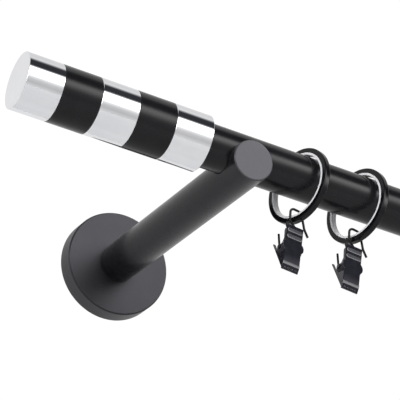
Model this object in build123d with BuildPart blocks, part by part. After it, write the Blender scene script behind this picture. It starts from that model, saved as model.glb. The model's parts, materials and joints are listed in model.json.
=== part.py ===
from build123d import *
import os

os.makedirs("parts", exist_ok=True)

# ---------------------------------------------------------------------------
# Curtain rod on two wall brackets, with striped cylinder finials, rings and
# spring clips. Millimetres. Origin: centre of the left bracket's back face, on
# the wall. +X runs along the rod to the right, +Y points into the wall, the
# room is on the -Y side, +Z is up.
# ---------------------------------------------------------------------------

# driving dimensions
rod_r = 14.0            # rod outside radius
rod_wall = 1.2
rod_y = -187.0          # rod axis in front of the wall
rod_z = 8.9             # rod axis above the bracket arm's axis
bracket_gap = 1050.0    # between the two arms
rod_over = 75.0         # rod beyond each arm's axis, most of it inside the finial

arm_r = 13.1
arm_front = 18.0        # arm's flat front face in front of the rod axis
saddle_gap = 0.3        # between the rod and the saddle
plate_r, plate_t = 32.6, 4.0
rose_r, rose_t = 36.0, 13.0
rose_skin = 3.0
screw_pitch = 40.0      # between the two wall screw holes
screw_r = 2.4

fin_r = 17.9
fin_inner_end = 28.0    # finial's inner end beyond the arm's axis
bands = [24.6, 24.4, 24.4, 24.4, 23.2]   # from the inner end outwards
core_r = 15.9

ring_ro, ring_seam, ring_ri = 25.0, 21.75, 20.2
ring_w = 4.0
ring_yaw = 15.5         # how far each ring is turned about the vertical
ring_drop = 5.9         # ring centre below the rod axis
ring_x = [40.8, 82.3, bracket_gap - 82.3, bracket_gap - 40.8]

wire_r = 0.75
hook_bar = (-2.2, -9.18) # hook's bottom bar from the ring's lowest inner point

sheet = 0.7             # clip's sheet steel
clip_w = 11.3
clip_h = 27.7
clip_cx = 2.0           # clip's middle from the curl's middle
clip_yf = -1.85         # clip's front face from the bar's axis
clip_zt = -0.55         # clip's datum line from the bar's axis, a little below its top edge
clip_up = 1.45          # top edge above the datum line
bend_z = -25.8          # where the sheet starts to bend back into the lip
clip_tilt = -10.0       # the clip hangs with its bottom forward, its weight under the bar
clip_lean = 5.0         # and leans with the hook's bar
piv = (5.0, -13.6)      # clip's pivot from its top front edge, (back, up)
pin_r = 0.9

mid = bracket_gap / 2
mirror_plane = Plane.YZ.offset(mid)


def save(part, name):
    part.label = name
    export_step(part, f"parts/{name}.step")


def save_pair(part, name):
    """the left piece, and its mirror image at the right end"""
    save(part, f"left_{name}")
    save(mirror(part, about=mirror_plane, mode=Mode.PRIVATE), f"right_{name}")


# ------------------------------ wall brackets ------------------------------

# wall plate: steel disc screwed to the wall inside the rosette
with BuildPart() as wall_plate:
    with BuildSketch(Plane.XZ):
        Circle(plate_r)
    extrude(amount=plate_t)
    chamfer(wall_plate.edges().filter_by(GeomType.CIRCLE).group_by(Axis.Y)[0], 0.5)
    # room for the head of the arm's bolt
    with BuildSketch(Plane.XZ):
        Circle(9.0)
    extrude(amount=plate_t, mode=Mode.SUBTRACT)
    # two countersunk wall screw holes, one above the other
    with Locations(Plane.XZ.offset(plate_t)):
        with Locations((0, screw_pitch / 2), (0, -screw_pitch / 2)):
            CounterSinkHole(radius=screw_r, counter_sink_radius=4.3)
    # dimple in the rim for the rosette's set screw
    with BuildSketch(Plane.YZ.offset(plate_r)):
        with Locations((-plate_t / 2, 0)):
            Circle(1.4)
    extrude(amount=-1.6, mode=Mode.SUBTRACT)
save_pair(wall_plate.part, "wall_plate")

# rosette: turned cup with a straight rim, open to the wall
with BuildPart() as rosette:
    with BuildSketch(Plane.XY):
        with BuildLine():
            Polyline(
                (0, -rose_t), (rose_r - 0.9, -rose_t), (rose_r, -rose_t + 0.9), (rose_r, 0),
                (rose_r - rose_skin, 0), (rose_r - rose_skin, -rose_t + 4.0), (0, -rose_t + 4.0), (0, -rose_t),
            )
        make_face()
    revolve(axis=Axis.Y)
    # hole for the arm's bolt
    with BuildSketch(Plane.XZ):
        Circle(4.2)
    extrude(amount=rose_t, mode=Mode.SUBTRACT)
    # radial hole for the set screw, on the side that faces along the rod
    with BuildSketch(Plane.YZ.offset(rose_r + 1)):
        with Locations((-plate_t / 2, 0)):
            Circle(1.5)
    extrude(amount=-6, mode=Mode.SUBTRACT)
save_pair(rosette.part, "rosette")

# arm: solid round bar with a round saddle across it near its front end
with BuildPart() as arm:
    with BuildSketch(Plane.XZ.offset(rose_t)):
        Circle(arm_r)
    extrude(amount=-rod_y + arm_front - rose_t)
    chamfer(arm.faces().sort_by(Axis.Y)[0].edges(), 0.7)
    # the saddle is round below the rod's middle and straight above it
    with BuildSketch(Plane.YZ.offset(-20)):
        with Locations((rod_y, rod_z)):
            Circle(rod_r + saddle_gap)
        with Locations((rod_y, rod_z + 10)):
            Rectangle(2 * (rod_r + saddle_gap), 20)
    extrude(amount=40, mode=Mode.SUBTRACT)
    # tapped hole for the bolt
    with BuildSketch(Plane.XZ.offset(rose_t)):
        Circle(4.05)
    extrude(amount=26, mode=Mode.SUBTRACT)
save_pair(arm.part, "arm")

# bolt that holds the rosette on the arm's end, from inside the rosette
with BuildPart() as arm_bolt:
    with BuildSketch(Plane.XZ.offset(rose_t - 4.0 - 4.0)):
        Circle(6.5)
    extrude(amount=4.0)
    fillet(arm_bolt.faces().sort_by(Axis.Y)[-1].edges(), 1.2)
    with BuildSketch(Plane.XZ.offset(rose_t - 4.0)):
        Circle(4.0)
    extrude(amount=26.0)
    with BuildSketch(Plane.XZ.offset(rose_t - 8.0)):
        RegularPolygon(2.9, 6)
    extrude(amount=2.4, mode=Mode.SUBTRACT)
save_pair(arm_bolt.part, "arm_bolt")

# set screw through the rosette's rim against the wall plate
with BuildPart() as rosette_screw:
    with BuildSketch(Plane.YZ.offset(rose_r - 0.6)):
        with Locations((-plate_t / 2, 0)):
            Circle(1.48)
    extrude(amount=-2.7)
    with BuildSketch(Plane.YZ.offset(rose_r - 3.3)):
        with Locations((-plate_t / 2, 0)):
            Circle(1.2)
    extrude(amount=-1.2)
    with BuildSketch(Plane.YZ.offset(rose_r - 0.6)):
        with Locations((-plate_t / 2, 0)):
            RegularPolygon(0.85, 6)
    extrude(amount=-1.4, mode=Mode.SUBTRACT)
save_pair(rosette_screw.part, "rosette_set_screw")

# ----------------------------------- rod -----------------------------------

axis_plane = Plane(origin=(0, rod_y, rod_z), x_dir=(0, 1, 0), z_dir=(1, 0, 0))

with BuildPart() as rod:
    with BuildSketch(axis_plane.offset(-rod_over)):
        Circle(rod_r)
        Circle(rod_r - rod_wall, mode=Mode.SUBTRACT)
    extrude(amount=bracket_gap + 2 * rod_over)
save(rod.part, "rod_tube")

# ---------------------------------- finials --------------------------------

# band borders, from the finial's inner end outwards, at the left end
edge_x = [-fin_inner_end]
for w in bands:
    edge_x.append(edge_x[-1] - w)
fin_end = edge_x[-1]

# core: black sleeve over the rod's end, which carries the bands
with BuildPart() as core:
    with BuildSketch(axis_plane.offset(edge_x[0])):
        Circle(core_r)
    extrude(amount=fin_end + 3.0 - edge_x[0])
    with BuildSketch(axis_plane.offset(edge_x[0])):
        Circle(rod_r + 0.05)
    extrude(amount=-(rod_over - fin_inner_end) - 1.0, mode=Mode.SUBTRACT)
    with BuildSketch(axis_plane.offset(edge_x[0] - (rod_over - fin_inner_end) - 3.0)):
        Circle(12.5)
    extrude(amount=-67.0, mode=Mode.SUBTRACT)
    # tapped hole for the set screw, on the wall side
    with BuildSketch(Plane.XZ.offset(-rod_y - core_r - 1)):
        with Locations(((edge_x[1] + edge_x[2]) / 2, rod_z)):
            Circle(1.6)
    extrude(amount=5, mode=Mode.SUBTRACT)
save_pair(core.part, "finial_core")


# one band: a sleeve with broken edges
def band(x0, x1, name, bore=None):
    with BuildPart() as b:
        with BuildSketch(axis_plane.offset(x1)):
            Circle(fin_r)
            Circle(core_r + 0.02, mode=Mode.SUBTRACT)
        extrude(amount=x0 - x1)
        chamfer(b.edges().filter_by(GeomType.CIRCLE).filter_by(lambda e: e.radius > fin_r - 0.1), 0.25)
        if bore:
            with BuildSketch(Plane.XZ.offset(-rod_y - fin_r - 1)):
                with Locations(((x0 + x1) / 2, rod_z)):
                    Circle(bore)
            extrude(amount=5, mode=Mode.SUBTRACT)
    save_pair(b.part, name)


band(edge_x[0], edge_x[1], "finial_chrome_band_inner")
band(edge_x[1], edge_x[2], "finial_black_band_inner", bore=1.7)
band(edge_x[2], edge_x[3], "finial_chrome_band_middle")
band(edge_x[3], edge_x[4], "finial_black_band_outer")

# end cap: chrome cup with the flat end face
with BuildPart() as cap:
    with BuildSketch(axis_plane.offset(fin_end)):
        Circle(fin_r)
    extrude(amount=edge_x[4] - fin_end)
    with BuildSketch(axis_plane.offset(fin_end + 2.6)):
        Circle(core_r + 0.02)
    extrude(amount=bands[4], mode=Mode.SUBTRACT)
    fillet(cap.faces().sort_by(Axis.X)[0].edges(), 0.5)
    chamfer(cap.faces().sort_by(Axis.X)[-1].edges().sort_by(SortBy.RADIUS)[-1], 0.25)
save_pair(cap.part, "finial_chrome_end_cap")

# set screw that holds the finial on the rod
with BuildPart() as fin_screw:
    fsx = (edge_x[1] + edge_x[2]) / 2
    with BuildSketch(Plane.XZ.offset(-rod_y - fin_r + 0.4)):
        with Locations((fsx, rod_z)):
            Circle(1.55)
    extrude(amount=fin_r - 0.4 - rod_r)
    with BuildSketch(Plane.XZ.offset(-rod_y - fin_r + 0.4)):
        with Locations((fsx, rod_z)):
            RegularPolygon(0.9, 6)
    extrude(amount=1.5, mode=Mode.SUBTRACT)
save_pair(fin_screw.part, "finial_set_screw")

# --------------------------- curtain rings and clips ------------------------
# Each is made about the ring's centre as origin and then carried to its place.

ring_plane = Plane.YZ.rotated((0, 0, ring_yaw))

with BuildPart() as ring_shell:
    with BuildSketch(ring_plane.offset(-ring_w / 2)):
        Circle(ring_ro)
        Circle(ring_seam, mode=Mode.SUBTRACT)
    extrude(amount=ring_w)
    fillet(ring_shell.edges().filter_by(GeomType.CIRCLE).filter_by(lambda e: e.radius > ring_ro - 0.1), 0.7)
    chamfer(ring_shell.edges().filter_by(GeomType.CIRCLE).filter_by(lambda e: e.radius < ring_seam + 0.1), 0.2)

with BuildPart() as ring_liner:
    with BuildSketch(ring_plane.offset(-ring_w / 2)):
        Circle(ring_seam - 0.02)
        Circle(ring_ri, mode=Mode.SUBTRACT)
    extrude(amount=ring_w)
    fillet(ring_liner.edges().filter_by(GeomType.CIRCLE).filter_by(lambda e: e.radius < ring_ri + 0.1), 0.4)

# hook: one bent wire, over the ring's lowest point, with a free tail on the
# right and a small flat loop below that carries the clip
hook_pts = [
    (9.6, -11.9), (6.6, -7.3), (4.7, -1.4), (2.2, 3.3), (-4.2, 4.15), (-3.7, -4.1),
    (1.4, -9.495), (-5.5, -8.891), (-5.1, -5.8), (-3.9, -5.1),
]
hook_radii = [5.0, 5.0, 2.2, 2.3, 2.0, 0.95, 0.95, 0.8]
with BuildPart() as hook:
    with BuildLine(Plane.XZ.offset(0.4)) as hook_path:
        FilletPolyline(*[(x, z - ring_ri) for x, z in hook_pts], radius=hook_radii)
    with BuildSketch(Plane(origin=hook_path.line @ 0, z_dir=hook_path.line % 0)):
        Circle(wire_r)
    sweep(path=hook_path.line)

# the clip is made about the middle of the hook's bottom bar
bar_at = Location((hook_bar[0], -0.4, hook_bar[1] - ring_ri), (clip_tilt, clip_lean, 0))


def cp(y, z):
    """a point of the clip's side view, from its front face and datum line"""
    return (clip_yf + y, clip_zt + z)


piv_y, piv_z = cp(*piv)

# front jaw: one sheet, with side walls that swell round the pivot, two pressed
# ribs, a curl round the hook's bar and a toothed lip bent back
with BuildPart() as front_jaw:
    with BuildSketch(Plane.XZ.offset(-clip_yf)):
        with Locations((clip_cx, clip_zt + (clip_up + bend_z) / 2)):
            Rectangle(clip_w, clip_up - bend_z)
        with Locations((clip_cx - 2.5, clip_zt + piv[1]), (clip_cx + 2.5, clip_zt + piv[1])):
            Circle(4.6)
    extrude(amount=-8.0)
    with BuildSketch(Plane.XZ.offset(-clip_yf - sheet)):
        with Locations((clip_cx, clip_zt - clip_h / 2)):
            Rectangle(clip_w - 2 * sheet, clip_h + 10)
        with Locations((clip_cx - 2.5, clip_zt + piv[1]), (clip_cx + 2.5, clip_zt + piv[1])):
            Circle(4.6 - sheet)
    extrude(amount=-9.0, mode=Mode.SUBTRACT)
    with BuildSketch(Plane.YZ.offset(-12)):
        with BuildLine():
            Polyline(
                cp(0, clip_up), cp(sheet, clip_up), cp(sheet, -0.75), cp(2.6, -0.75), cp(3.3, -1.5), cp(2.7, -7.8), cp(4.6, -9.9), cp(7.0, -11.4), cp(7.6, -13.0),
                cp(7.6, -15.2), cp(6.4, -17.0), cp(2.4, -24.4), cp(sheet, bend_z), cp(0, bend_z), cp(0, clip_up),
            )
        make_face()
    extrude(amount=24, mode=Mode.INTERSECT)
    # soften the folds
    fillet(front_jaw.edges().filter_by(Axis.Z).group_by(Axis.Y)[0], 0.5)
    # lip, with a soft bend above it
    with BuildSketch(Plane.YZ.offset(clip_cx - clip_w / 2)):
        with BuildLine():
            Polyline(cp(sheet, bend_z), cp(sheet, bend_z + 0.2), cp(0, bend_z + 0.2), cp(0, bend_z))
            ThreePointArc(cp(0, bend_z), cp(0.15, bend_z - 1.2), cp(0.6, bend_z - 2.4))
            Polyline(cp(0.6, bend_z - 2.4), cp(1.8, bend_z - 5.1), cp(2.44, bend_z - 4.82), cp(1.24, bend_z - 2.15))
            ThreePointArc(cp(1.24, bend_z - 2.15), cp(0.84, bend_z - 1.1), cp(sheet, bend_z))
        make_face()
    extrude(amount=clip_w)
    # fine teeth in the lip's edge
    with BuildSketch(Plane.XZ.offset(-clip_yf + 1)):
        with Locations(*[(clip_cx - 4.8 + 1.2 * i, clip_zt + bend_z - 5.2) for i in range(9)]):
            RegularPolygon(0.5, 3, rotation=90)
    extrude(amount=-6, mode=Mode.SUBTRACT)
    # row of short pressed slots across the lip, which bite into the cloth
    with BuildSketch(Plane(origin=(0, *cp(1.2, bend_z - 3.75)), x_dir=(1, 0, 0), z_dir=(0, -0.914, -0.406))):
        with Locations(*[(clip_cx - 3.6 + 2.4 * i, 0) for i in range(4)]):
            SlotOverall(1.5, 0.7)
    extrude(amount=-0.35, mode=Mode.SUBTRACT)
    # two ribs
    with BuildSketch(Plane.XZ.offset(-clip_yf)):
        with Locations((clip_cx, clip_zt - 2.35), (clip_cx, clip_zt - 6.95)):
            SlotOverall(10.2, 2.5)
    extrude(amount=0.6)
    fillet(front_jaw.faces().sort_by(Axis.Y)[0].edges() + front_jaw.faces().sort_by(Axis.Y)[1].edges(), 0.45)
    # curl round the bar
    with BuildSketch(Plane.YZ.offset(-1.7)):
        Circle(-clip_yf)
        with Locations(((clip_yf + clip_yf + sheet) / 2, (clip_zt - 0.6) / 2)):
            Rectangle(sheet, -clip_zt + 0.6)
        Circle(wire_r + 0.3, mode=Mode.SUBTRACT)
    extrude(amount=1.7)
    # pin holes
    with BuildSketch(Plane.YZ.offset(-12)):
        with Locations((piv_y, piv_z)):
            Circle(pin_r + 0.02)
    extrude(amount=24, mode=Mode.SUBTRACT)

# rear jaw: slanted sheet with side walls inside the front jaw's, and a forked
# upper end to press
rw = 4.65
slope = (0.5120, 0.8590)
back = (0.8590, -0.5120)


def rp(along, out=0.0):
    """a point of the rear jaw's side view, up along its back face from the bottom"""
    return cp(4.1 + along * slope[0] + out * back[0], -28.2 + along * slope[1] + out * back[1])


with BuildPart() as rear_jaw:
    with BuildSketch(Plane.YZ.offset(clip_cx - rw)):
        with BuildLine():
            Polyline(rp(-1.6), rp(29.3), rp(29.3, -sheet), rp(-1.6, -sheet), rp(-1.6))
        make_face()
    extrude(amount=2 * rw)
    # notch between the two prongs of the upper end
    with BuildSketch(Plane.YZ.offset(clip_cx - 3.2)):
        with BuildLine():
            Polyline(rp(22.3, 2), rp(31, 2), rp(31, -3), rp(22.3, -3), rp(22.3, 2))
        make_face()
    extrude(amount=6.4, mode=Mode.SUBTRACT)
    # teeth of the lower end
    with BuildSketch(Plane.XZ.offset(-clip_yf + 1)):
        with Locations(*[(clip_cx - 3.6 + 1.2 * i, clip_zt - 29.7) for i in range(7)]):
            RegularPolygon(0.5, 3, rotation=90)
    extrude(amount=-8, mode=Mode.SUBTRACT)
    # side walls
    for xs in (clip_cx - rw, clip_cx + rw - sheet):
        with BuildSketch(Plane.YZ.offset(xs)):
            with BuildLine():
                Polyline(
                    rp(0.6, -0.1), rp(20.6, -0.1), cp(8.6, -11.6), cp(6.4, -10.9), cp(4.6, -10.8), cp(3.0, -11.7),
                    cp(2.3, -13.6), cp(3.0, -16.0), cp(3.3, -26.0), rp(0.6, -0.1),
                )
            make_face()
        extrude(amount=sheet)
    # pin holes
    with BuildSketch(Plane.YZ.offset(-12)):
        with Locations((piv_y, piv_z)):
            Circle(pin_r + 0.06)
    extrude(amount=24, mode=Mode.SUBTRACT)

# hinge pin with two low round heads outside the front jaw's walls
pin_half = 7.15
with BuildPart() as pin:
    with BuildSketch(Plane.YZ.offset(clip_cx - pin_half)):
        with Locations((piv_y, piv_z)):
            Circle(pin_r)
    extrude(amount=2 * pin_half)
    for s in (-1, 1):
        with BuildSketch(Plane.YZ.offset(clip_cx + s * pin_half)):
            with Locations((piv_y, piv_z)):
                Circle(1.7)
        extrude(amount=s * 0.55)
    fillet(pin.faces().sort_by(Axis.X)[0].edges() + pin.faces().sort_by(Axis.X)[-1].edges(), 0.3)

# torsion spring: turns round the pin, one leg standing up in front of the
# rear jaw, the other standing behind the front jaw's sheet
spring_wire = 0.7
with BuildPart() as spring:
    coil_r = 2.0
    for i in range(6):
        with BuildSketch(Plane.XY.offset(piv_z)):
            with Locations((clip_cx - 3.1 + 1.1 * i, piv_y + coil_r)):
                Circle(spring_wire)
        revolve(axis=Axis((0, piv_y, piv_z), (1, 0, 0)))
    leg_a = Vector(clip_cx - 3.1, piv_y + coil_r, piv_z)
    leg_m = Vector(clip_cx - 3.15, clip_yf + 12.5, clip_zt - 8.8)
    leg_b = Vector(clip_cx - 4.3, clip_yf + 13.6, clip_zt + 2.0)
    for p0, p1 in ((leg_a, leg_m), (leg_m, leg_b)):
        with BuildSketch(Plane(origin=p0, z_dir=p1 - p0)):
            Circle(spring_wire)
        extrude(amount=(p1 - p0).length)
    with BuildSketch(Plane.XY.offset(leg_m.Z)):
        with Locations((leg_m.X, leg_m.Y)):
            Circle(spring_wire)
            Rectangle(2 * spring_wire, 2 * spring_wire, align=(Align.MIN, Align.CENTER), mode=Mode.SUBTRACT)
    revolve(axis=Axis((leg_m.X, leg_m.Y, leg_m.Z), (0, 1, 0)))
    leg_c = Vector(clip_cx + 2.4, piv_y - coil_r, piv_z)
    leg_d = Vector(clip_cx + 2.4, clip_yf + sheet + spring_wire + 0.15, clip_zt - 5.6)
    with BuildSketch(Plane(origin=leg_c, z_dir=leg_d - leg_c)):
        Circle(spring_wire)
    extrude(amount=(leg_d - leg_c).length)

for n, x in enumerate(ring_x, start=1):
    at = Location((x, rod_y, rod_z - ring_drop))
    save(ring_shell.part.moved(at), f"ring_{n}_shell")
    save(ring_liner.part.moved(at), f"ring_{n}_liner")
    save(hook.part.moved(at), f"clip_{n}_hook_wire")
    save(front_jaw.part.moved(at * bar_at), f"clip_{n}_front_jaw")
    save(rear_jaw.part.moved(at * bar_at), f"clip_{n}_rear_jaw")
    save(pin.part.moved(at * bar_at), f"clip_{n}_hinge_pin")
    save(spring.part.moved(at * bar_at), f"clip_{n}_torsion_spring")
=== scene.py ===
import json
import math

import bmesh
import bpy
from mathutils import Matrix, Vector


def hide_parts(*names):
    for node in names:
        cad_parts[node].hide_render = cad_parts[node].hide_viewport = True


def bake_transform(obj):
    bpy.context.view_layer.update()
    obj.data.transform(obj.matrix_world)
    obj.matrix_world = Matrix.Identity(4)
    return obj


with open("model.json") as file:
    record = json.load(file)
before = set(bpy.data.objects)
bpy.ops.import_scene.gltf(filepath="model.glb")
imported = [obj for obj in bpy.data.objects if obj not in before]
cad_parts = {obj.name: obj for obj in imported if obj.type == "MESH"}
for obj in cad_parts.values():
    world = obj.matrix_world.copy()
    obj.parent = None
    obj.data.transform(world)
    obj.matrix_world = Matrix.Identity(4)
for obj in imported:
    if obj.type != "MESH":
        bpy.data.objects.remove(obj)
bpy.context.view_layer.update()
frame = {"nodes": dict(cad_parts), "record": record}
nodes = frame["nodes"]
scene = bpy.context.scene
MM = 0.001

# ------------------------------------------------------------------ the row's main sizes
rod_axis_y, rod_axis_z, rod_r = -0.187, 0.0089, 0.014
gap = 1.05
ring_xs = [0.0408, 0.0823, 0.9677, 1.0092]


# =================================================================== materials
class Mat:
    """a small helper: one procedural material and its node tree"""

    def __init__(self, name, color, rough, metallic=0.0, spec=0.5, ior=1.5, coat=0.0, coat_rough=0.1):
        self.m = bpy.data.materials.new(name)
        self.m.use_nodes = True
        self.t = self.m.node_tree
        self.t.nodes.clear()
        self.out = self.t.nodes.new("ShaderNodeOutputMaterial")
        self.b = self.t.nodes.new("ShaderNodeBsdfPrincipled")
        self.t.links.new(self.b.outputs[0], self.out.inputs[0])
        i = self.b.inputs
        i["Base Color"].default_value = (*color, 1)
        i["Roughness"].default_value = rough
        i["Metallic"].default_value = metallic
        i["Specular IOR Level"].default_value = spec
        i["IOR"].default_value = ior
        i["Coat Weight"].default_value = coat
        i["Coat Roughness"].default_value = coat_rough
        self.coord = None

    def node(self, kind, **props):
        n = self.t.nodes.new(kind)
        for k, v in props.items():
            setattr(n, k, v)
        return n

    def link(self, a, b):
        self.t.links.new(a, b)

    def position(self):
        if self.coord is None:
            self.coord = self.node("ShaderNodeTexCoord").outputs["Object"]
        return self.coord

    def moved(self, scale=(1, 1, 1), loc=(0, 0, 0), rot=(0, 0, 0)):
        mp = self.node("ShaderNodeMapping")
        mp.inputs["Scale"].default_value = scale
        mp.inputs["Location"].default_value = loc
        mp.inputs["Rotation"].default_value = rot
        self.link(self.position(), mp.inputs["Vector"])
        return mp.outputs[0]

    def noise(self, scale, detail=3.0, rough=0.5, vec=None, distortion=0.0):
        n = self.node("ShaderNodeTexNoise")
        n.inputs["Scale"].default_value = scale
        n.inputs["Detail"].default_value = detail
        n.inputs["Roughness"].default_value = rough
        n.inputs["Distortion"].default_value = distortion
        self.link(vec if vec is not None else self.position(), n.inputs["Vector"])
        return n.outputs["Fac"]

    def ramp(self, fac, stops, interp="LINEAR"):
        r = self.node("ShaderNodeValToRGB")
        r.color_ramp.interpolation = interp
        e = r.color_ramp.elements
        while len(e) < len(stops):
            e.new(0.5)
        for el, (p, c) in zip(e, stops):
            el.position = p
            el.color = (c, c, c, 1) if isinstance(c, (int, float)) else (*c, 1)
        self.link(fac, r.inputs["Fac"])
        return r.outputs["Color"]

    def mix(self, fac, a, b, blend="MIX"):
        n = self.node("ShaderNodeMix", data_type="RGBA", blend_type=blend)
        for sock, v in ((n.inputs["Factor"], fac), (n.inputs["A"], a), (n.inputs["B"], b)):
            if isinstance(v, bpy.types.NodeSocket):
                self.link(v, sock)
            elif isinstance(v, (int, float)) and sock.type == "VALUE":
                sock.default_value = v
            else:
                sock.default_value = (v, v, v, 1) if isinstance(v, (int, float)) else (*v, 1)
        # the colour sockets share names with the float ones
        return n.outputs["Result"]

    def mixc(self, fac, a, b, blend="MIX"):
        n = self.node("ShaderNodeMix", data_type="RGBA", blend_type=blend)
        f, ca, cb = n.inputs[0], n.inputs[6], n.inputs[7]
        for sock, v in ((f, fac), (ca, a), (cb, b)):
            if isinstance(v, bpy.types.NodeSocket):
                self.link(v, sock)
            elif sock is f:
                sock.default_value = v
            else:
                sock.default_value = (v, v, v, 1) if isinstance(v, (int, float)) else (*v, 1)
        return n.outputs[2]

    def math(self, op, a, b=None, clamp=False):
        n = self.node("ShaderNodeMath", operation=op, use_clamp=clamp)
        for k, v in ((0, a), (1, b)):
            if v is None:
                continue
            if isinstance(v, bpy.types.NodeSocket):
                self.link(v, n.inputs[k])
            else:
                n.inputs[k].default_value = v
        return n.outputs[0]

    def rng(self, v, a, b, c, d, smooth=False):
        n = self.node("ShaderNodeMapRange")
        if smooth:
            n.interpolation_type = "SMOOTHSTEP"
        for k, x in enumerate((a, b, c, d), start=1):
            n.inputs[k].default_value = x
        self.link(v, n.inputs[0])
        return n.outputs[0]

    def bump(self, height, strength, distance, under=None):
        n = self.node("ShaderNodeBump")
        n.inputs["Strength"].default_value = strength
        n.inputs["Distance"].default_value = distance
        self.link(height, n.inputs["Height"])
        if under is not None:
            self.link(under, n.inputs["Normal"])
        return n.outputs[0]

    def edge(self, radius, low=0.02, high=0.35):
        """1 on convex and concave edges, 0 on smooth faces"""
        bev = self.node("ShaderNodeBevel", samples=6)
        bev.inputs["Radius"].default_value = radius
        geo = self.node("ShaderNodeNewGeometry")
        d = self.node("ShaderNodeVectorMath", operation="DOT_PRODUCT")
        self.link(bev.outputs[0], d.inputs[0])
        self.link(geo.outputs["Normal"], d.inputs[1])
        inv = self.math("SUBTRACT", 1.0, d.outputs["Value"])
        return self.rng(inv, low, high, 0, 1)

    def set(self, name, sock):
        self.link(sock, self.b.inputs[name])


def rod_black():
    m = Mat("rod_satin_black", (0.0065, 0.0065, 0.0075), 0.2, spec=0.24)
    # long faint drawing marks under the enamel, and soft patches of sheen
    streak = m.noise(60, 2, 0.5, m.moved((0.9, 40, 40)))
    cloud = m.noise(26, 3, 0.55, m.moved((1, 3, 3)))
    r = m.math("ADD", m.rng(streak, 0.3, 0.7, -0.022, 0.022), m.rng(cloud, 0.3, 0.7, 0.165, 0.235))
    m.set("Roughness", r)
    col = m.mixc(m.rng(cloud, 0.35, 0.7, 0, 1), (0.0058, 0.0058, 0.0068), (0.0078, 0.0078, 0.0088))
    m.set("Base Color", col)
    peel = m.noise(900, 2, 0.5)
    m.set("Normal", m.bump(peel, 0.05, 0.00012))
    return m.m


def band_black():
    m = Mat("finial_satin_black", (0.006, 0.006, 0.007), 0.2, spec=0.22)
    fine = m.noise(1400, 3, 0.6)
    turned = m.noise(55, 3, 0.5, m.moved((60, 0.6, 0.6)))
    m.set("Roughness", m.math("ADD", m.rng(fine, 0.3, 0.7, 0.17, 0.21), m.rng(turned, 0.3, 0.7, -0.015, 0.03)))
    col = m.mixc(m.rng(m.noise(90, 3, 0.5), 0.35, 0.7, 0, 1), (0.0052, 0.0052, 0.006), (0.0072, 0.0072, 0.0082))
    # edges painted lighter: a painted edge highlight
    e = m.edge(0.0004, 0.01, 0.3)
    m.set("Base Color", m.mixc(m.math("MULTIPLY", e, 0.35), col, (0.06, 0.06, 0.065)))
    m.set("Normal", m.bump(fine, 0.04, 0.0001))
    return m.m


def chrome():
    m = Mat("polished_chrome", (0.83, 0.835, 0.85), 0.05, metallic=1.0)
    turned = m.noise(90, 3, 0.55, m.moved((45, 0.5, 0.5)))
    haze = m.noise(70, 4, 0.6)
    m.set("Roughness", m.math("ADD", m.rng(haze, 0.35, 0.75, 0.035, 0.075), m.rng(turned, 0.35, 0.75, 0.0, 0.035)))
    m.set("Base Color", m.mixc(m.rng(haze, 0.35, 0.7, 0, 1), (0.80, 0.805, 0.825), (0.85, 0.855, 0.865)))
    m.set("Normal", m.bump(turned, 0.035, 0.00006))
    return m.m


def bracket_black(name, lo, hi, spec, sheen=0.0, disc_painted_reflection=False):
    m = Mat(name, (0.006, 0.006, 0.007), 0.3, spec=spec)
    m.b.inputs["Specular Tint"].default_value = (0.93, 0.915, 1.0, 1)
    grit = m.noise(2600, 2, 0.6)
    cloud = m.noise(42, 3, 0.55)
    m.set("Roughness", m.math("ADD", m.rng(grit, 0.3, 0.7, lo, hi), m.rng(cloud, 0.3, 0.7, -0.03, 0.04)))
    col = m.mixc(m.rng(cloud, 0.35, 0.68, 0, 1), (0.0045, 0.0045, 0.0055), (0.0085, 0.0085, 0.0095))
    speck = m.rng(m.noise(4200, 1, 0.5), 0.6, 0.72, 0, 1)
    col = m.mixc(m.math("MULTIPLY", speck, 0.4), col, (0.03, 0.03, 0.032))
    # edges painted lighter: a painted edge highlight on the small chamfers
    e = m.edge(0.0006, 0.01, 0.3)
    col = m.mixc(m.math("MULTIPLY", e, 0.3), col, (0.07, 0.07, 0.075))
    if disc_painted_reflection:
        # the arm's front disc is painted greyer: a painted reflection standing in for the satin sheen of its flat
        # face
        axis = m.node("ShaderNodeSeparateXYZ")
        m.link(m.position(), axis.inputs[0])
        col = m.mixc(m.rng(axis.outputs["Y"], -0.2046, -0.2042, 1, 0), col, m.mixc(m.rng(grit, 0.3, 0.7, 0, 1), (0.051, 0.0505, 0.055), (0.063, 0.0625, 0.067)))
    m.set("Base Color", col)
    m.set("Normal", m.bump(grit, 0.07, 0.00012))
    # the coat scatters a little light at grazing angles
    m.b.inputs["Sheen Weight"].default_value = sheen
    m.b.inputs["Sheen Roughness"].default_value = 0.3
    return m.m


def ring_black():
    m = Mat("ring_gloss_black", (0.003, 0.003, 0.004), 0.16, spec=0.2)
    cloud = m.noise(160, 3, 0.5)
    m.set("Roughness", m.rng(cloud, 0.3, 0.7, 0.13, 0.21))
    # edges painted light grey: a painted highlight on the ring's rounded edges
    e = m.edge(0.0005, 0.02, 0.3)
    m.set("Base Color", m.mixc(m.math("MULTIPLY", e, 0.5), (0.003, 0.003, 0.004), (0.14, 0.14, 0.145)))
    m.set("Normal", m.bump(m.noise(1100, 2, 0.5), 0.03, 0.0001))
    return m.m


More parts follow.
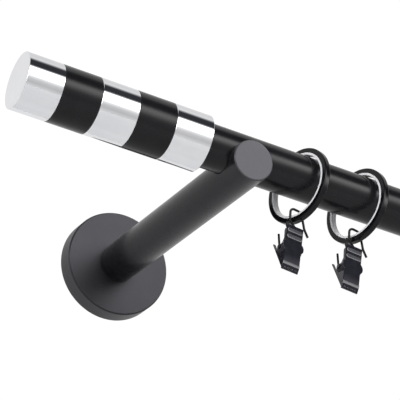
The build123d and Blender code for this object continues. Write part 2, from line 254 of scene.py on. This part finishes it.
def liner_grey():
    m = Mat("liner_pale_plastic", (0.76, 0.76, 0.775), 0.34, spec=0.45)
    m.b.inputs["Subsurface Weight"].default_value = 0.15
    m.b.inputs["Subsurface Radius"].default_value = (0.8, 0.8, 0.8)
    m.b.inputs["Subsurface Scale"].default_value = 0.0006
    cloud = m.noise(120, 3, 0.55)
    rub_streaks_and_bend_highlight = m.noise(260, 4, 0.6, m.moved((0.5, 4, 4)))
    col = m.mixc(m.rng(cloud, 0.35, 0.7, 0, 1), (0.73, 0.73, 0.745), (0.80, 0.80, 0.81))
    m.set("Base Color", m.mixc(m.rng(rub_streaks_and_bend_highlight, 0.62, 0.8, 0, 0.35), col, (0.42, 0.42, 0.44)))
    m.set("Roughness", m.rng(rub_streaks_and_bend_highlight, 0.3, 0.75, 0.28, 0.42))
    return m.m


def clip_black(name, spec, sole=None):
    m = Mat(name, (0.006, 0.006, 0.008), 0.2, spec=spec)
    roll = m.noise(420, 3, 0.55, m.moved((1, 1, 0.12)))
    patch = m.noise(240, 4, 0.6)
    col = m.mixc(m.rng(patch, 0.35, 0.7, 0, 1), (0.0085, 0.0085, 0.0125), (0.0125, 0.0125, 0.0175))
    # edges painted light grey: a painted edge highlight
    e = m.edge(0.0003, 0.01, 0.25)
    col = m.mixc(m.math("MULTIPLY", e, 0.45), col, (0.30, 0.30, 0.31))
    # the two pressed ribs stand in front of the sheet; their flanks carry a painted highlight and their tops a
    # lighter grey
    front = m.node("ShaderNodeVectorMath", operation="DOT_PRODUCT")
    m.link(m.position(), front.inputs[0])
    front.inputs[1].default_value = (0.0, 0.98481, -0.17365)
    depth = m.math("ADD", front.outputs["Value"], 0.179971)
    rib = m.rng(depth, -0.00194, -0.0019, 1, 0)
    flank = m.rng(depth, -0.00238, -0.00233, 0, 1)
    rib_painted_highlight_col = m.mixc(flank, (0.05, 0.05, 0.056), (0.32, 0.32, 0.33))
    # the soft bend above the lip gets a painted highlight, most where it turns sharpest
    turn = m.node("ShaderNodeVectorMath", operation="DOT_PRODUCT")
    m.link(m.node("ShaderNodeTexCoord").outputs["Normal"], turn.inputs[0])
    turn.inputs[1].default_value = (0.08716, 0.17299, 0.98106)
    facing = m.node("ShaderNodeVectorMath", operation="DOT_PRODUCT")
    m.link(m.node("ShaderNodeTexCoord").outputs["Normal"], facing.inputs[0])
    facing.inputs[1].default_value = (0.0, -0.98481, 0.17365)
    rub_streaks_and_bend_highlight = m.math("MULTIPLY", m.rng(turn.outputs["Value"], -0.3, -0.01, 1, 0), m.rng(turn.outputs["Value"], -0.39, -0.34, 0, 1))
    rub_streaks_and_bend_highlight = m.math("MULTIPLY", rub_streaks_and_bend_highlight, m.rng(facing.outputs["Value"], 0.9, 0.94, 0, 1))
    # painted highlight colour along the bend
    col = m.mixc(rub_streaks_and_bend_highlight, col, (0.15, 0.15, 0.155))
    if sole is not None:
        # and the painted bend highlight fades out up the sheet
        up = m.node("ShaderNodeVectorMath", operation="DOT_PRODUCT")
        m.link(m.position(), up.inputs[0])
        up.inputs[1].default_value = (0.08716, 0.17299, 0.98106)
        bend_highlight_fade = m.rng(m.math("SUBTRACT", up.outputs["Value"], sole), 0.0, 0.0055, 0.15, 0)
        col = m.mixc(m.math("MULTIPLY", bend_highlight_fade, m.rng(facing.outputs["Value"], 0.97, 0.99, 0, 1)), col, (0.15, 0.15, 0.16))
    # the ribs take their painted flank highlight here
    m.set("Base Color", m.mixc(rib, col, rib_painted_highlight_col))
    m.set("Roughness", m.math("ADD", m.rng(roll, 0.3, 0.7, 0.09, 0.13), m.rng(patch, 0.3, 0.7, -0.02, 0.03)))
    m.set("Normal", m.bump(roll, 0.012, 0.0001))
    return m.m


def clip_wire():
    m = Mat("clip_black_plated_wire", (0.006, 0.006, 0.007), 0.2, spec=0.15)
    draw = m.noise(900, 3, 0.6)
    m.set("Base Color", m.mixc(m.rng(draw, 0.35, 0.7, 0, 1), (0.004, 0.004, 0.005), (0.010, 0.010, 0.011)))
    m.set("Roughness", m.rng(draw, 0.3, 0.7, 0.2, 0.3))
    return m.m


def zinc():
    m = Mat("zinc_plated_steel", (0.56, 0.565, 0.575), 0.33, metallic=0.95)
    grain = m.noise(130, 4, 0.6, m.moved((1, 1, 26)))
    cloud = m.noise(70, 4, 0.6, distortion=0.4)
    col = m.mixc(m.rng(cloud, 0.35, 0.7, 0, 1), (0.50, 0.52, 0.56), (0.64, 0.63, 0.60))
    m.set("Base Color", col)
    m.set("Roughness", m.math("ADD", m.rng(grain, 0.3, 0.7, 0.26, 0.4), m.rng(cloud, 0.3, 0.7, -0.03, 0.06)))
    m.set("Normal", m.bump(grain, 0.12, 0.0001))
    return m.m


def screw_black():
    m = Mat("blackened_screw", (0.018, 0.018, 0.019), 0.36, metallic=0.6)
    n = m.noise(1500, 3, 0.6)
    m.set("Base Color", m.mixc(m.rng(n, 0.35, 0.7, 0, 1), (0.013, 0.013, 0.014), (0.03, 0.03, 0.032)))
    m.set("Roughness", m.rng(n, 0.3, 0.7, 0.3, 0.46))
    return m.m


def core_black():
    m = Mat("core_moulded_black", (0.012, 0.012, 0.0125), 0.46, spec=0.4)
    n = m.noise(2600, 2, 0.5)
    m.set("Roughness", m.rng(n, 0.3, 0.7, 0.4, 0.54))
    m.set("Normal", m.bump(n, 0.1, 0.0001))
    return m.m


looks = {
    "zinc_steel": zinc(), "bracket_black": bracket_black("bracket_fine_matt_black", 0.24, 0.30, 0.22, 0.08, True), "black_screw": screw_black(), "core_black": core_black(),
    "chrome": chrome(), "band_black": band_black(), "rod_black": rod_black(), "ring_black": ring_black(),
    "liner_grey": liner_grey(), "clip_wire": clip_wire(), "clip_black": clip_black("clip_black_plated_sheet", 0.15),
}
slot_of = {s["node"]: s["material_slot"] for s in frame["record"]["subparts"]}
rosette_look = bracket_black("rosette_fine_matt_black", 0.38, 0.46, 0.40)
lever_look = clip_black("clip_black_plated_lever", 0.12)
# each front jaw, with the height of its bend along the clip
jaw_looks = {}
for n, x in enumerate(ring_xs, start=1):
    at = Vector((x - 0.0022, -0.1874, -0.02638))
    jaw_looks[f"clip_{n}_front_jaw"] = clip_black(f"clip_{n}_black_plated_sheet", 0.15, at.dot(Vector((0.08716, 0.17299, 0.98106))) - 0.02635)
for name, obj in nodes.items():
    obj.data.materials.clear()
    own = rosette_look if name.endswith("_rosette") else lever_look if name.endswith("_rear_jaw") else jaw_looks.get(name, looks[slot_of[name]])
    obj.data.materials.append(own)

# =================================================================== torsion springs
hook_bar = (-2.2, -9.18)
clip_cx, clip_yf, clip_zt = 2.0, -1.85, -0.55
piv = (5.0, -13.6)
clip_turn = Matrix.Rotation(math.radians(-10), 3, "X") @ Matrix.Rotation(math.radians(5), 3, "Y")


def spring_mesh(name, at):
    """one length of wire: leg, turns round the pin, leg"""
    wire, coil = 0.7, 2.0
    py, pz = clip_yf + piv[0], clip_zt + piv[1]
    pts = []
    leg_b = Vector((clip_cx - 4.3, clip_yf + 13.6, clip_zt + 2.0))
    leg_m = Vector((clip_cx - 3.15, clip_yf + 12.5, clip_zt - 8.8))
    leg_a = Vector((clip_cx - 3.1, py + coil, pz))
    for k in range(6):
        pts.append(leg_b.lerp(leg_m, k / 6 * 0.94))
    soft = leg_b.lerp(leg_m, 0.94), leg_m, leg_m.lerp(leg_a, 0.14)
    for k in range(6):
        u = k / 5
        pts.append(soft[0] * (1 - u) ** 2 + soft[1] * 2 * u * (1 - u) + soft[2] * u ** 2)
    for k in range(1, 5):
        pts.append(soft[2].lerp(leg_a, k / 5))
    turns, per = 3.5, 40
    total = int(turns * per)
    for k in range(total + 1):
        u = k / total
        a = -2 * math.pi * turns * u
        pts.append(Vector((clip_cx - 3.1 + 5.5 * u, py + coil * math.cos(a), pz + coil * math.sin(a))))
    end = pts[-1]
    leg_d = Vector((clip_cx + 2.4, clip_yf + 0.7 + wire + 0.15, clip_zt - 5.6))
    for k in range(1, 8):
        pts.append(end.lerp(leg_d, k / 7))
    cu = bpy.data.curves.new(name + "_wire", "CURVE")
    cu.dimensions = "3D"
    sp = cu.splines.new("POLY")
    sp.points.add(len(pts) - 1)
    for p, q in zip(sp.points, pts):
        w = (clip_turn @ q + at) * MM
        p.co = (w.x, w.y, w.z, 1)
    cu.bevel_depth = wire * MM
    cu.bevel_resolution = 3
    cu.use_fill_caps = True
    tmp = bpy.data.objects.new(name + "_tmp", cu)
    scene.collection.objects.link(tmp)
    bpy.context.view_layer.update()
    me = bpy.data.meshes.new_from_object(tmp.evaluated_get(bpy.context.evaluated_depsgraph_get()))
    bpy.data.objects.remove(tmp)
    me.name = name
    for p in me.polygons:
        p.use_smooth = True
    ob = bpy.data.objects.new(name, me)
    scene.collection.objects.link(ob)
    return ob


for n, x in enumerate(ring_xs, start=1):
    at = Vector((x / MM + hook_bar[0], -187.0 - 0.4, 3.0 - 20.2 + hook_bar[1]))
    sp = spring_mesh(f"clip_{n}_spring_coil", at)
    sp.data.materials.append(looks["clip_wire"])
    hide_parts(f"clip_{n}_torsion_spring")
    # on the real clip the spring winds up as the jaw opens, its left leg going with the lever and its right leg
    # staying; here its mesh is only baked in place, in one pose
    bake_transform(sp)

# =================================================================== studio
# world: pale room with one long soft light high in front, a dark gap above it,
# and an even pale backdrop; only the direction round the rod's axis matters
world = bpy.data.worlds.new("studio")
scene.world = world
world.use_nodes = True
wt = world.node_tree
wt.nodes.clear()
wo = wt.nodes.new("ShaderNodeOutputWorld")
bg_light = wt.nodes.new("ShaderNodeBackground")
bg_seen = wt.nodes.new("ShaderNodeBackground")
mixs = wt.nodes.new("ShaderNodeMixShader")
lp = wt.nodes.new("ShaderNodeLightPath")
wt.links.new(lp.outputs["Is Camera Ray"], mixs.inputs[0])
wt.links.new(bg_light.outputs[0], mixs.inputs[1])
wt.links.new(bg_seen.outputs[0], mixs.inputs[2])
wt.links.new(mixs.outputs[0], wo.inputs[0])
bg_seen.inputs["Color"].default_value = (1, 1, 1, 1)
bg_seen.inputs["Strength"].default_value = 1.02
tc = wt.nodes.new("ShaderNodeTexCoord")
sx = wt.nodes.new("ShaderNodeSeparateXYZ")
wt.links.new(tc.outputs["Generated"], sx.inputs[0])
neg = wt.nodes.new("ShaderNodeMath")
neg.operation = "MULTIPLY"
neg.inputs[1].default_value = -1
wt.links.new(sx.outputs["Y"], neg.inputs[0])
at2 = wt.nodes.new("ShaderNodeMath")
at2.operation = "ARCTAN2"
wt.links.new(sx.outputs["Z"], at2.inputs[0])
wt.links.new(neg.outputs[0], at2.inputs[1])
mr = wt.nodes.new("ShaderNodeMapRange")
mr.inputs[1].default_value, mr.inputs[2].default_value = -math.pi, math.pi
wt.links.new(at2.outputs[0], mr.inputs[0])
rp = wt.nodes.new("ShaderNodeValToRGB")
wt.links.new(mr.outputs[0], rp.inputs[0])
PEAK = 6.0
stops = [  # degrees round the rod's axis: 0 = the room, 90 = up, 180 = the wall
    (-180, 0.86), (-130, 0.92), (-60, 0.72), (-30, 0.74), (-18, 0.57), (-6, 0.68), (4, 1.0), (10, 2.2), (18, 4.2), (28, PEAK),
    (36, 4.6), (42, 1.5), (46, 0.3), (50, 0.035), (74, 0.04), (80, 0.3), (87, 0.84), (104, 0.76), (125, 0.78), (140, 0.88), (180, 0.86),
]
e = rp.color_ramp.elements
while len(e) < len(stops):
    e.new(0.5)
for el, (a, v) in zip(e, stops):
    el.position = (a + 180) / 360
    c = v / PEAK
    tint = (0.92, 0.95, 1.12) if v < 0.1 else (1, 1, 1.006)
    el.color = (c * tint[0], c * tint[1], c * tint[2], 1)
wt.links.new(rp.outputs[0], bg_light.inputs["Color"])
bg_light.inputs["Strength"].default_value = PEAK

# floor
bpy.ops.mesh.primitive_plane_add(size=3.2, location=(0.52, 0, -0.86))
floor = bpy.context.object
floor.name = "floor"
fm = Mat("floor_pale", (0.76, 0.76, 0.765), 0.6, spec=0.2)
fn = fm.noise(3, 3, 0.5)
fm.set("Base Color", fm.mixc(fm.rng(fn, 0.35, 0.7, 0, 1), (0.74, 0.74, 0.745), (0.78, 0.78, 0.785)))
floor.data.materials.append(fm.m)

# =================================================================== camera
cam = bpy.data.cameras.new("camera")
cam.sensor_width = 36.0
cam.lens = 208.557
cam.clip_start = 0.01
cam.clip_end = 50
camo = bpy.data.objects.new("camera", cam)
scene.collection.objects.link(camo)
right = Vector((0.88414091, -0.45142193, 0.12047027))
down = Vector((0.29693406, 0.34382601, -0.89085007))
ahead = Vector((0.36072845, 0.82340872, 0.43803319))
rot = Matrix((right, -down, -ahead)).transposed()
camo.matrix_world = Matrix.Translation(Vector((-0.52146, -1.32359, -0.63235))) @ rot.to_4x4()
scene.camera = camo

scene.view_settings.view_transform = "Standard"
scene.view_settings.look = "None"
